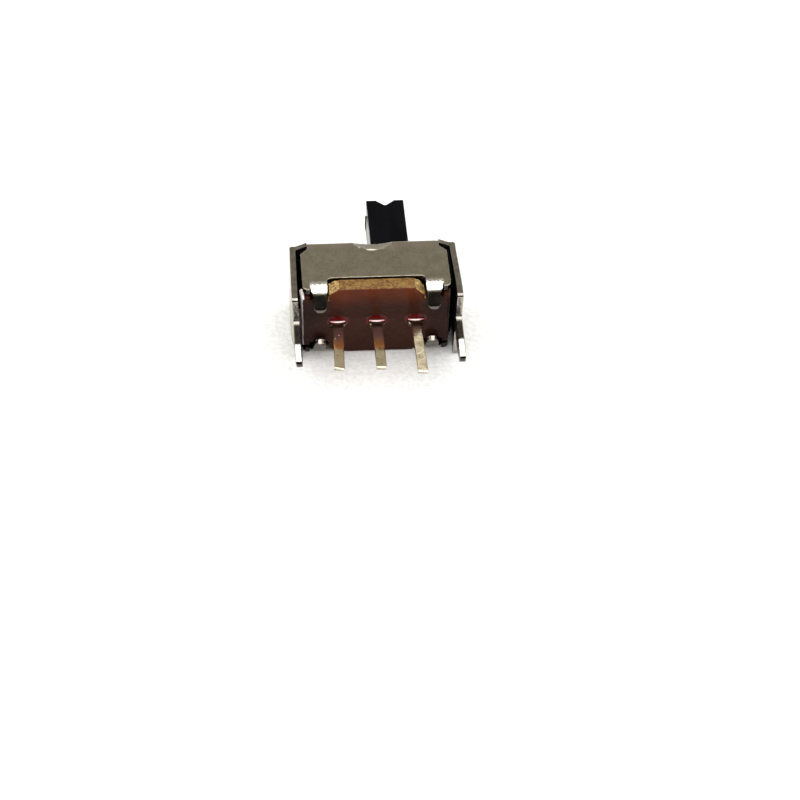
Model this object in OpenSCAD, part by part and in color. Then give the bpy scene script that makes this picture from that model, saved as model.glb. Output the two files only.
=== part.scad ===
// Miniature two-position slide switch with a folded steel shell, three flat pins and two solder tails.
// It lies on the outer face of one long wall: X runs along its length, +Y is the way the knob points,
// +Z is up through its thickness. The origin is at the centre of its footprint, on the surface it lies on.
// The pieces are drawn with y = 0 on the outer face of the top plate and z = 0 at mid thickness, and
// place() moves them to that origin. All lengths are in millimetres.

/* [Shell] */
// Thickness of the sheet steel
sheet_t = 0.45; // [0.35:0.05:0.5]
// Length over the outer faces of the two end flanges
flange_span = 12.9; // [12.6:0.1:15]
// Thickness of the switch over the outer faces of the two long walls
shell_w = 6.5; // [6.4:0.1:8]
// Outer radius of the bends between the top plate and the walls
bend_r = 0.4; // [0.35:0.05:0.7]
// Inner radius of every bend at the top plate
bend_inner_r = 0.05; // [0.05:0.05:0.2]
// Distance from a flange's outer face to the end of the long walls
wall_inset = 0.8; // [0.65:0.05:1]
// Depth of the walls below the outer face of the top plate
wall_h = 5.5; // [5.4:0.05:5.6]
// Radius of the walls' lower outer corners
wall_corner_r = 0.4; // [0.2:0.05:0.5]
// Width of the relief at each end of a bend
relief_w = 0.55; // [0.4:0.05:0.8]
// Depth of the straight part of the relief at each end of a bend
relief_h = 0.8; // [0.7:0.05:1.2]
// Depth from the top plate's outer face to the terminal board's outer face
body_h = 5.65; // [5.6:0.05:5.8]

/* [Flanges and tails] */
// Width of the end flanges
flange_w = 6.1; // [5.4:0.05:6.1]
// How far the flanges sit off the middle of the thickness
flange_shift = -0.2; // [-0.2:0.05:0]
// Depth of the end flanges, to the shoulders that seat on a circuit board
flange_h = 6.25; // [6:0.05:7.5]
// Outer radius of the bends between the top plate and the flanges
flange_bend_r = 0.2; // [0.15:0.05:0.6]
// Distance from the edge of the top plate, beside a relief, to the outer face of the wall
plate_inset = 0.05; // [0.05:0.01:0.3]
// Radius of the flanges' outer corners
flange_corner_r = 0.3; // [0.2:0.05:0.6]
// Width of a solder tail at its root
tail_w = 1.3; // [0.9:0.05:1.6]
// Length of a solder tail below the shoulders
tail_len = 4.15; // [3:0.05:4.8]
// Length of the tapered end of a tail
tail_taper = 1.7; // [1.2:0.1:2]
// Radius of a tail's tip
tail_tip_r = 0.25; // [0.15:0.05:0.35]
// Radius of the concave corner between shoulder and tail
tail_fillet = 0.4; // [0.3:0.05:0.8]

/* [Claws] */
// Distance from the end of a wall to a claw's outer edge
claw_inset = 0.6; // [0.5:0.05:0.8]
// Width of a claw at its root
claw_root_w = 1.3; // [1.1:0.05:1.4]
// Width of a claw near its tip
claw_tip_w = 1; // [0.8:0.05:1.05]
// Outer radius of a claw's bend
claw_bend_r = 0.85; // [0.6:0.05:1]
// Depth at which a claw's bend starts
claw_bend_y = 5.05; // [4.9:0.05:5.35]
// Lean of a claw off the terminal board, in degrees
claw_lean = 34; // [20:1:36]
// Reach of a claw inward from the wall's outer face
claw_reach = 1.51; // [1.4:0.01:1.75]

/* [Detent dents] */
// Length of the dent pressed into each top bend
dent_len = 2.9; // [2.2:0.1:3.2]
// Height of a dent on the wall
dent_on_wall = 1.26; // [1.1:0.02:1.4]
// Height of a dent on the top plate
dent_on_plate = 0.45; // [0.4:0.01:0.5]
// Radius across a dent's floor
dent_floor_r = 5.4; // [4:0.2:8]

/* [Knob and carrier] */
// Width of the knob along the travel
knob_len = 3; // [2:0.1:3.2]
// Thickness of the knob across the travel
knob_w = 2.9; // [1.6:0.1:3]
// Height of the knob above the top plate
knob_h = 6.9; // [2:0.1:9]
// Radius of the knob's long edges
knob_edge_r = 0.1; // [0.05:0.05:0.3]
// Width of the V notch in the knob's end
notch_w = 1.5; // [1:0.05:1.8]
// Depth of the V notch
notch_depth = 0.57; // [0.4:0.01:0.8]
// Radius at the bottom of the V notch
notch_r = 0.25; // [0.1:0.05:0.3]
// Height of the moulding gate's stub on the knob's side
gate_stub = 0.1; // [0.05:0.05:0.2]
// Distance the slider travels between its two positions
travel = 3; // [2.4:0.1:3.2]
// Clearance of the slider to the shell and the board
slide_gap = 0.1; // [0.05:0.01:0.15]

/* [Terminal board] */
// Thickness of the terminal board
board_t = 1.3; // [1:0.05:1.4]
// Clearance of the board to the shell
board_gap = 0.1; // [0.05:0.01:0.15]
// Clearance between the board's ends and the flanges
board_end_gap = 0.45; // [0.3:0.05:0.6]
// Length of the chamfers on the board's tongue, along X
chamfer_x = 0.5; // [0.3:0.05:1]
// Depth of the chamfers on the board's tongue, along Z
chamfer_z = 0.95; // [0.3:0.05:1.2]
// Clearance along X between the board and a claw
claw_notch_gap = 0.05; // [0.02:0.01:0.1]
// Depth of the board's notch for a claw, measured from the wall's inner face
claw_notch_z = 0.7; // [0.6:0.05:1]

/* [Terminals] */
// Pitch of the three terminals
pin_pitch = 3; // [2.8:0.1:3.1]
// Width of a pin
pin_w = 0.78; // [0.6:0.02:0.9]
// Thickness of the terminal strip
pin_t = 0.4; // [0.3:0.05:0.5]
// Length of a pin below the terminal board
pin_len = 5.6; // [3:0.1:7]
// Width of a pin's bevelled tip
pin_tip_w = 0.58; // [0.4:0.02:0.7]
// Width of the staked shoulder under the board
shoulder_w = 1.26; // [1:0.02:1.5]
// Straight length of the staked shoulder
shoulder_len = 0.5; // [0.4:0.05:0.9]
// Length over which the shoulder narrows to the pin
shoulder_taper = 0.45; // [0.3:0.05:0.6]
// Radius of the staked collar against the board
collar_r = 0.31; // [0.28:0.01:0.45]
// Width of the contact blade inside
blade_w = 1.9; // [1.4:0.1:2.2]
// Height of the contact blade above the board
blade_h = 2; // [1.6:0.1:2.1]
// How much shorter the left pin is cropped
left_pin_crop = 0.35; // [0:0.05:0.5]
// Splay of the left pin, in degrees
left_pin_splay = -2; // [-4:0.5:4]
// Splay of the right pin, in degrees
right_pin_splay = 2; // [-4:0.5:4]
// Drop of the right pin, in degrees
right_pin_drop = 6; // [-6:0.5:6]

/* [Contact clip] */
// Thickness of the clip's strip
clip_t = 0.15; // [0.1:0.01:0.2]
// Length of the clip along the travel
clip_len = 4.4; // [4:0.1:4.8]
// Width over the clip's back
clip_w = 1.5; // [1.3:0.1:1.8]
// Height of the clip
clip_h = 2.2; // [2:0.1:2.3]
// Running clearance between clip and blades
contact_gap = 0.04; // [0.03:0.01:0.06]

/* [Hidden] */
$fn = 48;
eps = 0.01;
over = 1;                                         // overshoot of cutting bodies
steel = "#8c8778";
phenolic = "#4a241c";
brass = "#b09d6c";
bronze = "#a8743c";
moulding = "#17181a";

board_top = body_h - board_t;                     // depth of the board's inner face
recess_top = board_top - 0.8 * board_gap;         // depth of the wall recess's upper edge
cavity_w = shell_w - 2 * sheet_t;
wall_len = flange_span - 2 * wall_inset;
bend_len = wall_len - 2 * relief_w;
claw_outer_x = wall_len / 2 - claw_inset;
claw_root_x = claw_outer_x - claw_root_w;         // inner edge of a claw, and end of the board recess
board_len = flange_span - 2 * (sheet_t + board_end_gap);
claw_shift = 0.06;                                // inward shift of a claw's tip from its root's middle
claw_x = claw_root_x + claw_root_w / 2 - claw_shift;
claw_turn = 90 - claw_lean;
dent_slope = atan(dent_on_plate / dent_on_wall);

carrier_len = flange_span - 2 * sheet_t - travel - 2 * slide_gap;
carrier_top = sheet_t + slide_gap / 2;
carrier_bottom = board_top - slide_gap;
carrier_w = cavity_w - 2 * slide_gap;
rest_x = travel / 2;                              // the slider rests at the +X end of its travel
blade_top = board_top - blade_h;
clip_roof = 1.1;                                  // plastic above the clip pocket
clip_top = carrier_top + clip_roof;
clip_grip = 0.7;                                  // where the leaves pinch the blades, as a part of clip_h
clip_flare = 1.2 * clip_t;                        // how far the leaves' ends flare past the pinch
detent_pocket = 1.5 * slide_gap;                  // extra depth of the carrier's pockets at the dents
slot_corner_r = 0.2;                              // corner radius of the knob's slot in the top plate
gate_w = 1.4;                                     // the gate stub's width across the knob
gate_len = 0.3;                                   // and its length along the knob
recess_corner_r = 0.15;                           // radius of the board recess's inner corners
groove_w = pin_t + 2 * slide_gap;

pin_reach = body_h + pin_len;
place_y = (pin_reach - knob_h) / 2;
place_z = shell_w / 2;

// Angle, seen from a circle's centre, of the point where a line from (dx, dy) touches the circle
function touch_angle(dx, dy, r) = atan2(dy, dx) - acos(r / norm([dx, dy]));

function reversed(points) = [for (i = [len(points) - 1:-1:0]) points[i]];

// The points of the right half of an outline, then their mirror images, in order round the outline
function two_way(half) = concat(half, [for (p = reversed(half)) [-p[0], p[1]]]);

// The same from one quadrant
function four_way(quarter) = two_way(concat(quarter, [for (p = reversed(quarter)) [p[0], -p[1]]]));

module place() {
    translate([0, place_y, place_z]) children();
}

// Draws its children and their mirror image
module mirrored(axis) {
    children();
    mirror(axis) children();
}

// Extrudes an outline of z and y along X
module across_x(length) {
    rotate([0, -90, 0]) linear_extrude(length, center = true) children();
}

// Extrudes an outline of x and z from the depth top to the depth bottom
module in_depth(top, bottom) {
    translate([0, -top, 0]) rotate([90, 0, 0]) linear_extrude(bottom - top) children();
}

// Outline of a folded channel, closed at y = 0 with rounded folds
module channel_outline(w, depth, r) {
    translate([-w / 2, -depth]) square([w, depth - r]);
    translate([r - w / 2, -r - eps]) square([w - 2 * r, r + eps]);
    for (side = [-1, 1]) translate([side * (w / 2 - r), -r]) circle(r);
}

// ---------------------------------------------------------------- frame

module wall_channel() {
    difference() {
        across_x(wall_len) channel_outline(shell_w, wall_h, bend_r);
        across_x(wall_len + over) translate([0, -sheet_t])
            channel_outline(cavity_w, wall_h + over, bend_inner_r);
    }
}

// What is cut from both walls: the board recess, the claw gaps, the lower corners and the bend reliefs
module wall_cuts() {
    low = wall_h + over;
    linear_extrude(shell_w + over, center = true) {
        translate([-claw_root_x, -low]) square([2 * claw_root_x, low - recess_top - recess_corner_r]);
        translate([recess_corner_r - claw_root_x, -low])
            square([2 * (claw_root_x - recess_corner_r), low - recess_top]);
        for (side = [-1, 1])
            translate([side * (claw_root_x - recess_corner_r), -recess_top - recess_corner_r])
                circle(recess_corner_r);
        mirrored([1, 0]) {
            translate([claw_root_x - eps, -low]) square([claw_root_w + eps, low - claw_bend_y]);
            difference() {
                translate([wall_len / 2 - wall_corner_r, -low]) square([low, low - wall_h + wall_corner_r]);
                translate([wall_len / 2 - wall_corner_r, wall_corner_r - wall_h]) circle(wall_corner_r);
            }
        }
    }
}

module bend_reliefs() {
    mirrored([1, 0, 0]) mirrored([0, 0, 1]) translate([0, 0, shell_w / 2])
        linear_extrude(2 * (sheet_t + bend_inner_r + eps), center = true)
            polygon([[bend_len / 2, over], [bend_len / 2, -relief_h],
                     [wall_len / 2 + eps, -relief_h - relief_w], [wall_len / 2 + over, -relief_h - relief_w],
                     [wall_len / 2 + over, over]]);
}

// Outline of a flange and its tail, in z and y
module flange_outline() {
    r = flange_corner_r;
    f = tail_fillet;
    root = tail_w / 2;
    taper_y = flange_h + tail_len - tail_taper;
    tip_y = flange_h + tail_len - tail_tip_r;
    a = touch_angle(root, tip_y - taper_y, tail_tip_r);
    translate([flange_shift, 0]) {
        translate([-flange_w / 2, r - flange_h]) square([flange_w, flange_h - r + over]);
        translate([r - flange_w / 2, -flange_h]) square([flange_w - 2 * r, flange_h]);
        for (side = [-1, 1]) translate([side * (flange_w / 2 - r), r - flange_h]) circle(r);
    }
    difference() {
        translate([-root - f, -flange_h - f]) square([2 * (root + f), f + eps]);
        for (side = [-1, 1]) translate([side * (root + f), -flange_h - f]) circle(f);
    }
    polygon(two_way([[root, eps - flange_h], [root, -taper_y],
                     [tail_tip_r * cos(a), tail_tip_r * sin(a) - tip_y]]));
    translate([0, -tip_y]) circle(tail_tip_r);
}

module flange_strip() {
    depth = flange_h + tail_len + over;
    intersection() {
        translate([0, 0, flange_shift]) difference() {
            linear_extrude(flange_w, center = true) channel_outline(flange_span, depth, flange_bend_r);
            linear_extrude(flange_w + over, center = true) translate([0, -sheet_t])
                channel_outline(flange_span - 2 * sheet_t, depth, bend_inner_r);
        }
        across_x(flange_span + over) flange_outline();
    }
}

// Where the top plate's edges run from the wall bends to the flanges
module plate_gussets() {
    root_z = shell_w / 2 - plate_inset;
    end_x = flange_span / 2 - sheet_t - bend_inner_r;
    mirrored([1, 0, 0]) in_depth(0, sheet_t)
        polygon([[bend_len / 2 - eps, root_z],
                 [end_x, flange_shift + flange_w / 2], [end_x, flange_shift - flange_w / 2],
                 [bend_len / 2 - eps, -root_z]]);
}

// The section of a claw's bend, in z and y, rooted in the wall
module claw_section() {
    reach = 3 * claw_bend_r;
    translate([claw_bend_r - sheet_t, -eps]) square([sheet_t, 3 * eps]);
    intersection() {
        difference() {
            circle(claw_bend_r);
            circle(claw_bend_r - sheet_t);
        }
        polygon([[0, 0], [reach, 0], [reach, -reach], [reach * cos(claw_turn), -reach * sin(claw_turn)]]);
    }
}

// What narrows a claw's bend from the width of its root to that of its blade, in x and z
module claw_outline() {
    tip = claw_tip_w / 2;
    polygon([[claw_root_x - claw_x, 0], [claw_outer_x - claw_x, 0], [claw_outer_x - claw_x, -claw_bend_r / 2],
             [tip, -0.9 * claw_bend_r], [-tip, -0.9 * claw_bend_r],
             [claw_root_x - claw_x, -claw_bend_r / 2]]);
}

// The straight blade of a claw, with its round tip, flat in x and y
module claw_blade() {
    length = (claw_reach - claw_bend_r * (1 - cos(claw_turn))) / sin(claw_turn) - claw_tip_w / 2;
    translate([-claw_tip_w / 2, -length]) square([claw_tip_w, length + eps]);
    translate([0, -length]) circle(claw_tip_w / 2);
}

module claw() {
    translate([claw_x, -claw_bend_y, shell_w / 2 - claw_bend_r]) {
        intersection() {
            across_x(2 * claw_root_w) claw_section();
            translate([0, 0, claw_bend_r]) in_depth(-over, 2 * claw_bend_r) claw_outline();
        }
        rotate([claw_turn, 0, 0]) translate([0, 0, claw_bend_r - sheet_t])
            linear_extrude(sheet_t) claw_blade();
    }
}

// The press tool of a dent on the +Z wall; grown makes it larger all round
module dent_tool(grown) {
    rotate([90 - dent_slope, 0, 0])
        cylinder(r = dent_floor_r + grown, h = 2 * shell_w, center = true, $fn = 96);
}

module dent_place() {
    mirrored([0, 0, 1])
        translate([0, dent_floor_r * sin(dent_slope) - dent_on_wall,
                   dent_floor_r * cos(dent_slope) + shell_w / 2]) children();
}

module dent_slab(length) {
    cube([length, 4 * dent_floor_r, 4 * dent_floor_r], center = true);
}

module dent_bulges() {
    intersection() {
        across_x(dent_len + sheet_t) channel_outline(shell_w, wall_h / 2, bend_r);
        dent_place() dent_tool(sheet_t);
    }
}

module dents() {
    intersection() {
        dent_place() dent_tool(0);
        dent_slab(dent_len);
    }
}

module knob_slot() {
    r = slot_corner_r;
    half_x = (knob_len + travel) / 2 + slide_gap;
    half_z = knob_w / 2 + slide_gap;
    in_depth(-over, sheet_t + over) {
        square([2 * half_x, 2 * (half_z - r)], center = true);
        square([2 * (half_x - r), 2 * half_z], center = true);
        for (sx = [-1, 1], sz = [-1, 1]) translate([sx * (half_x - r), sz * (half_z - r)]) circle(r);
    }
}

module frame() {
    color(steel) place() {
        difference() {
            union() {
                difference() {
                    wall_channel();
                    wall_cuts();
                    bend_reliefs();
                }
                flange_strip();
                plate_gussets();
                dent_bulges();
            }
            dents();
            knob_slot();
        }
        mirrored([1, 0, 0]) mirrored([0, 0, 1]) claw();
    }
}

// ---------------------------------------------------------------- slider

// Outline of the knob in x and y, with its V notch
module knob_outline() {
    w = notch_w / 2;
    c = knob_h - notch_depth + notch_r;
    a = touch_angle(w, knob_h - c, notch_r);
    difference() {
        translate([-knob_len / 2, -carrier_top - eps]) square([knob_len, knob_h + carrier_top + eps]);
        polygon(two_way([[w, knob_h + over], [w, knob_h], [notch_r * cos(a), c + notch_r * sin(a)]]));
        translate([0, c]) circle(notch_r);
    }
}

// The stub left by the moulding gate, near the knob's end on its -X side
module gate() {
    translate([-knob_len / 2 - gate_stub, knob_h - 1.5 * gate_len, -gate_w])
        cube([2 * gate_stub, gate_len, gate_w]);
}

module knob() {
    r = knob_edge_r;
    gate();
    intersection() {
        linear_extrude(knob_w + over, center = true) knob_outline();
        in_depth(-knob_h - over, carrier_top + over) {
            square([knob_len, knob_w - 2 * r], center = true);
            square([knob_len - 2 * r, knob_w], center = true);
            for (sx = [-1, 1], sz = [-1, 1])
                translate([sx * (knob_len / 2 - r), sz * (knob_w / 2 - r)]) circle(r);
        }
    }
}

// The carrier's top edges are bevelled where the dents pass, and pocketed where they rest
module dent_reliefs() {
    run = travel + dent_len + sheet_t + 4 * slide_gap;
    dent_place() {
        rotate([90 - dent_slope, 0, 0])
            cube([run, 2 * (dent_floor_r + sheet_t + slide_gap), 4 * dent_floor_r], center = true);
        for (side = [-1, 1]) translate([side * travel / 2, 0, 0]) intersection() {
            dent_tool(sheet_t + slide_gap + detent_pocket);
            dent_slab(dent_len / 2);
        }
    }
}

module carrier() {
    difference() {
        in_depth(carrier_top, carrier_bottom) square([carrier_len, carrier_w], center = true);
        dent_reliefs();
        in_depth(blade_top - slide_gap, carrier_bottom + over)
            square([carrier_len + over, groove_w], center = true);
        in_depth(clip_top, carrier_bottom + over)
            square([clip_len + 2 * slide_gap, clip_w + slide_gap], center = true);
    }
}

module slider() {
    color(moulding) place() translate([rest_x, 0, 0]) {
        knob();
        carrier();
    }
}

// ---------------------------------------------------------------- contacts

// The clip's section in z and y: a flat back, two leaves that close on the blades, and flared ends
module clip_section() {
    back = clip_w / 2;
    grip = pin_t / 2 + contact_gap;
    grip_y = clip_top + clip_grip * clip_h;
    end_y = clip_top + clip_h;
    polygon(two_way([[back, -clip_top], [back, -clip_top - clip_t], [grip + clip_t, -grip_y],
                     [grip + clip_t + clip_flare, -end_y], [grip + clip_flare, -end_y], [grip, -grip_y],
                     [back - clip_t, -clip_top - clip_t]]));
}

module contact_clip() {
    color(bronze) place() translate([rest_x, 0, 0]) across_x(clip_len) clip_section();
}

module terminal_board() {
    flat_z = shell_w / 2 - board_gap / 2;
    end_z = cavity_w / 2 - board_gap;
    tongue_x = claw_root_x - board_gap;
    notch_z = cavity_w / 2 - claw_notch_z;
    notch_x = claw_outer_x + claw_notch_gap;
    color(phenolic) place() in_depth(board_top, body_h) difference() {
        polygon(four_way([[tongue_x - chamfer_x, flat_z], [tongue_x, flat_z - chamfer_z],
                          [tongue_x, notch_z],
                          [notch_x, notch_z], [notch_x, end_z], [board_len / 2, end_z]]));
        for (i = [-1:1]) translate([i * pin_pitch, 0])
            square([pin_w + 2 * eps, pin_t + 2 * eps], center = true);
    }
}

// Outline of a terminal in x and y, from the blade's end to the end of the shoulder
module terminal_outline() {
    half = shoulder_w / 2;
    end = body_h + shoulder_len + shoulder_taper;
    translate([-blade_w / 2, -board_top]) square([blade_w, blade_h]);
    translate([-pin_w / 2, -end]) square([pin_w, end - board_top + eps]);
    polygon(two_way([[half, -body_h], [half, -body_h - shoulder_len], [pin_w / 2, -end]]));
}

// The straight pin, from the end of the shoulder to its bevelled tip
module pin(crop, splay, drop) {
    start = body_h + shoulder_len + shoulder_taper;
    length = pin_reach - start - crop;
    bevel = pin_w - pin_tip_w;
    translate([0, -start, 0]) rotate([drop, 0, splay]) intersection() {
        linear_extrude(pin_t, center = true)
            polygon(two_way([[pin_w / 2, pin_t / 4], [pin_w / 2, bevel - length], [pin_tip_w / 2, -length]]));
        across_x(2 * pin_w)
            polygon(two_way([[pin_t / 2, pin_t / 4], [pin_t / 2, bevel - length], [pin_t / 4, -length]]));
    }
}

module terminal(x, crop = 0, splay = 0, drop = 0) {
    color(brass) place() translate([x, 0, 0]) {
        linear_extrude(pin_t, center = true) terminal_outline();
        across_x(shoulder_w) intersection() {
            translate([0, -body_h - collar_r / 3]) circle(collar_r);
            translate([-collar_r, -body_h - 2 * collar_r]) square(2 * collar_r);
        }
        pin(crop, splay, drop);
    }
}

frame();
slider();
contact_clip();
terminal_board();
terminal(-pin_pitch, crop = left_pin_crop, splay = left_pin_splay);  // terminal_left
terminal(0);  // terminal_centre
terminal(pin_pitch, splay = right_pin_splay, drop = right_pin_drop);  // terminal_right
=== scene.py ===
import math

import bmesh
import bpy
from mathutils import Euler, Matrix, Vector, noise
from mathutils.geometry import delaunay_2d_cdt


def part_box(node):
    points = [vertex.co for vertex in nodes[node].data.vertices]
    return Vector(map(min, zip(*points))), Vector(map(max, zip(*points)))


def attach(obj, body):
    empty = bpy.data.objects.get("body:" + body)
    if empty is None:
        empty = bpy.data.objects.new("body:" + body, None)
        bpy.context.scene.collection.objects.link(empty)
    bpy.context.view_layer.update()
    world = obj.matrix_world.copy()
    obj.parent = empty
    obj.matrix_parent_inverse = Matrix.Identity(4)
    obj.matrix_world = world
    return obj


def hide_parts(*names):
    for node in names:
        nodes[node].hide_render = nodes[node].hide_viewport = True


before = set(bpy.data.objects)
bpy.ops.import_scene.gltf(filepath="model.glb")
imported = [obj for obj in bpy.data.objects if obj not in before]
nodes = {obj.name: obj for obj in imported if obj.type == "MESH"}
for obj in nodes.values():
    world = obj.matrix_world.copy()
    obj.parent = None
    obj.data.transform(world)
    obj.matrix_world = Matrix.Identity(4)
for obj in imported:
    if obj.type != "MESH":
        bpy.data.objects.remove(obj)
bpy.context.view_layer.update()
MM = 0.001


# ---------------------------------------------------------------- sizes, in millimetres

# Pieces are drawn with y = 0 on the top plate's outer face and z = 0 at mid thickness, as the solids are.
shell_low, shell_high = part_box("frame")
PLATE_Y = shell_high[1] / MM
MID_Z = (shell_low[2] + shell_high[2]) / 2 / MM
SPAN = (shell_high[0] - shell_low[0]) / MM
SHELL_W = (shell_high[2] - shell_low[2]) / MM
SHEET_T = 0.45
HALF_W = SHELL_W / 2
FOLD = 0.5                           # how far a fold reaches over each of its two faces
PLATE_EDGE = HALF_W - FOLD           # where the wall bends start on the plate
FLANGE_ROOT = SPAN / 2 - FOLD        # where the flange bends start
WALL_BEND_R = 0.4
FLANGE_BEND_R = 0.2
BEND_INNER_R = 0.05
WALL_FLAT = 0.45                     # length of a wall bend in the flat blank
FLANGE_FLAT = 0.5
WALL_HALF = SPAN / 2 - 0.8
BEND_HALF = WALL_HALF - 0.55
WALL_H = 5.5
RECESS_Y = 4.27
CLAW_IN, CLAW_OUT, CLAW_X = 3.75, 5.05, 4.34
CLAW_Y = 4.843                       # where the claws start to bend
SLIT_Y = 5.05                        # the top of the slits beside them
CLAW_R = 1.1
CLAW_FLAT = 0.817                    # length of a claw's bend in the flat blank
CLAW_TURN = math.radians(56)
CLAW_BLADE = 0.869
CLAW_TIP_R = 0.5
FLANGE_HIGH, FLANGE_LOW = 2.85, 3.25
FLANGE_H = 6.25
TAIL_HALF = 0.65
TAIL_TIP = FLANGE_H + 4.15
TAPER_Y = TAIL_TIP - 1.7             # where the tails start to narrow
DENT_HALF = 1.45
DENT_ON_WALL, DENT_ON_PLATE = 1.1, 0.42
DENT_R = 5.4
BODY_H = 5.65                        # depth of the board's outer face
BOARD_Y = PLATE_Y - BODY_H
BOARD_T = 1.3
BOARD_END = SPAN / 2 - 0.83
TONGUE = 3.65                        # half length of the board's middle, between the claws
CHAMFER_X = 0.75
PITCH = 3.0
PIN_LEN = 5.6
STAKE_HALF_X, STAKE_HALF_Z = 0.62, 0.28
KNOB_SIDE = 0.0                      # the knob's side with the gate's stub


# ---------------------------------------------------------------- camera

cam = bpy.data.cameras.new("camera")
cam.sensor_width = 36
cam.lens = 108.17
cam.clip_start = 0.01
cam.clip_end = 10
camera = bpy.data.objects.new("camera", cam)
camera.location = (-0.0120105, -0.1389109, 0.1277493)
camera.rotation_euler = Euler([math.radians(a) for a in (45.6196, -1.5631, -4.3946)])
bpy.context.scene.collection.objects.link(camera)
bpy.context.scene.camera = camera
bpy.context.scene.view_settings.view_transform = "Standard"


# ---------------------------------------------------------------- mesh helpers

def add_object(name, me, body, replaced, sharp):
    """Puts a finished mesh in the scene, on its body and in place of a node."""
    me.shade_smooth()
    me.set_sharp_from_angle(angle=math.radians(sharp))
    piece = bpy.data.objects.new(name, me)
    bpy.context.scene.collection.objects.link(piece)
    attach(piece, body)
    if replaced:
        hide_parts(replaced)


def add_piece(name, verts, faces, marks, looks, replaced=None, sharp=35):
    """Makes a fixed piece from points in millimetres in the drawing frame; marks are material indices."""
    me = bpy.data.meshes.new(name)
    me.from_pydata([(x * MM, (y + PLATE_Y) * MM, (z + MID_Z) * MM) for x, y, z in verts], [], faces)
    for look in looks:
        me.materials.append(look)
    me.polygons.foreach_set("material_index", marks)
    bm = bmesh.new()
    bm.from_mesh(me)
    bmesh.ops.remove_doubles(bm, verts=bm.verts, dist=1e-8)
    bmesh.ops.recalc_face_normals(bm, faces=bm.faces)
    bm.to_mesh(me)
    bm.free()
    add_object(name, me, "base", replaced, sharp)


def arc(cx, cy, r, start, end, count):
    """Points on a circle between two angles in degrees."""
    return [(cx + r * math.cos(math.radians(start + (end - start) * i / count)),
             cy + r * math.sin(math.radians(start + (end - start) * i / count))) for i in range(count + 1)]


def clean(path):
    """The closed path without points that repeat."""
    out = []
    for p in path:
        if not out or math.dist(p, out[-1]) > 1e-6:
            out.append(p)
    if math.dist(out[0], out[-1]) < 1e-6:
        out.pop()
    return out


def spaced(loop, step):
    """The closed loop with its sides divided; step(x, y) is the longest side there."""
    out = []
    for (ax, ay), (bx, by) in zip(loop, loop[1:] + loop[:1]):
        count = max(1, math.ceil(math.hypot(bx - ax, by - ay) / step((ax + bx) / 2, (ay + by) / 2)))
        out += [(ax + (bx - ax) * i / count, ay + (by - ay) * i / count) for i in range(count)]
    return out


def inward(loop):
    """At each point, the way into the material on the loop's left, longer at corners."""
    ways = []
    for i, p in enumerate(loop):
        sides = []
        for a, b in ((loop[i - 1], p), (p, loop[(i + 1) % len(loop)])):
            dx, dy = b[0] - a[0], b[1] - a[1]
            size = math.hypot(dx, dy) or 1
            sides.append((-dy / size, dx / size))
        nx, ny = sides[0][0] + sides[1][0], sides[0][1] + sides[1][1]
        size = max(math.hypot(nx, ny), 0.9)
        ways.append((2 * nx / size ** 2, 2 * ny / size ** 2))
    return ways


def within(x, y, loop):
    """Whether a point is inside a closed loop."""
    inside = False
    for (ax, ay), (bx, by) in zip(loop, loop[1:] + loop[:1]):
        if (ay > y) != (by > y) and x < ax + (y - ay) * (bx - ax) / (by - ay):
            inside = not inside
    return inside


def near(x, y, cells, size):
    """Whether a point of the hashed loops is closer than the cell size."""
    cx, cy = math.floor(x / size), math.floor(y / size)
    return any(math.hypot(x - px, y - py) < size for i in (-1, 0, 1) for j in (-1, 0, 1)
               for px, py in cells.get((cx + i, cy + j), ()))


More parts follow.
